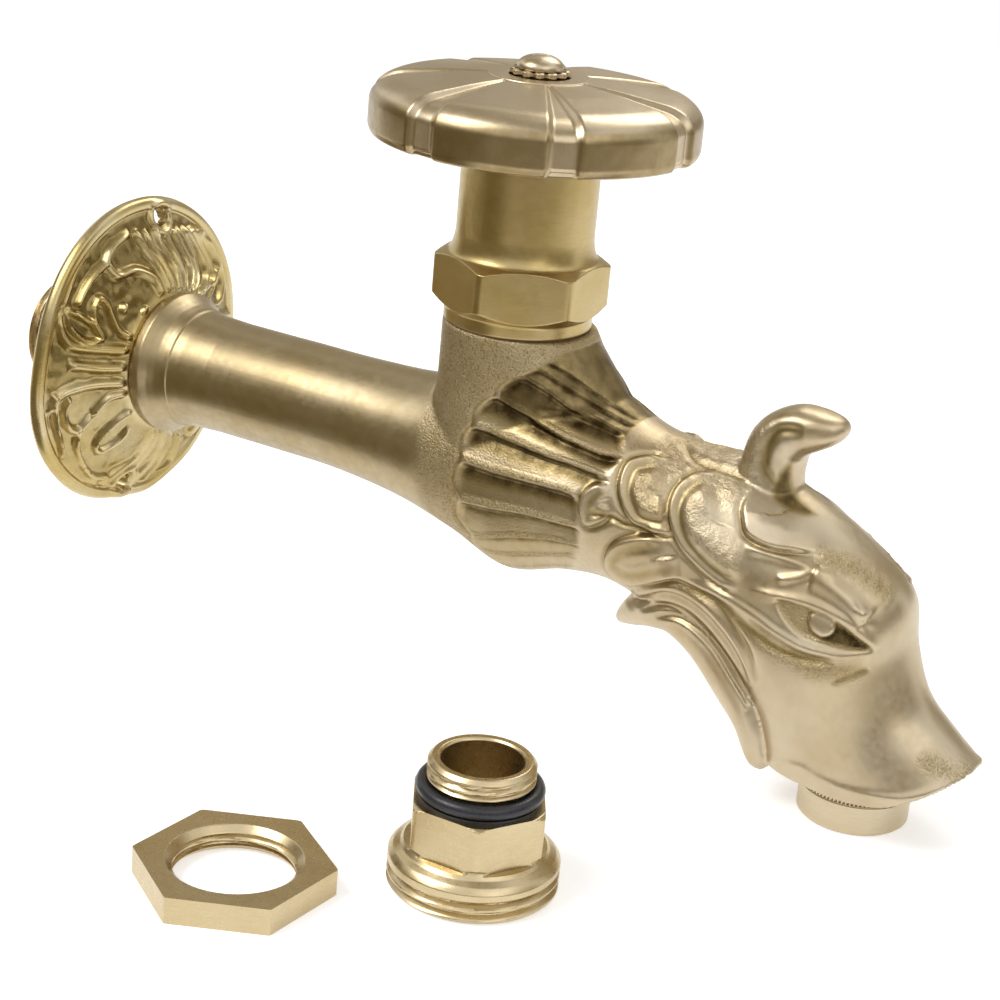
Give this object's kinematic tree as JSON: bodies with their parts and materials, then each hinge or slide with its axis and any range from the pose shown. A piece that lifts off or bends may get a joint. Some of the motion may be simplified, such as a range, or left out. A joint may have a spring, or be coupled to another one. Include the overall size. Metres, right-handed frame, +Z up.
{
  "type": "garden fountain tap",
  "caption": "Wall-mounted brass fountain tap: cast animal-head spout, fluted handwheel, rising spindle valve, wall rosette, loose hose adapter and lock nut.",
  "frame": {"origin": "on the axis of the inlet thread, in the plane of the wall on which the rosette rests", "axes": "+X runs out of the wall along the inlet tube, +Z runs up along the spindle axis, and the animal head looks along +X and down"},
  "size_m": [0.1948, 0.1298, 0.1143],
  "materials": {
    "cast_brass": "satin",
    "polished_brass": "polished",
    "turned_brass": "brushed",
    "fibre": "matte",
    "black_rubber": "matte"
  },
  "bodies": {
    "body": {"tap_body": "cast_brass", "wall_rosette": "polished_brass", "bonnet": "turned_brass", "bonnet_gasket": "fibre", "packing_rings": "fibre", "gland_ring": "turned_brass", "gland_nut": "turned_brass", "outlet_nozzle": "turned_brass", "nozzle_gasket": "fibre", "lock_nut": "turned_brass", "hose_adapter": "turned_brass", "adapter_washer": "black_rubber", "adapter_oring": "black_rubber"},
    "valve": {"jumper_valve": "turned_brass", "seat_washer": "black_rubber", "washer_nut": "turned_brass"},
    "spindle_group": {"spindle": "turned_brass", "handwheel": "cast_brass", "serrated_washer": "turned_brass", "handwheel_screw": "turned_brass"}
  },
  "joints": [
    {"name": "valve_lift", "type": "slide", "parent": "body", "child": "valve", "axis": [0, 0, 1], "range_m": [0, 0.005]},
    {"name": "wheel_turn", "type": "hinge", "parent": "valve", "child": "spindle_group", "pos_m": [0.0851, 0, 0.06], "axis": [0, 0, 1], "range_deg": [0, 900]}
  ],
  "couplings": [
    {"joint": "valve_lift", "follows": "wheel_turn", "m_per_rad": 0.000318}
  ]
}
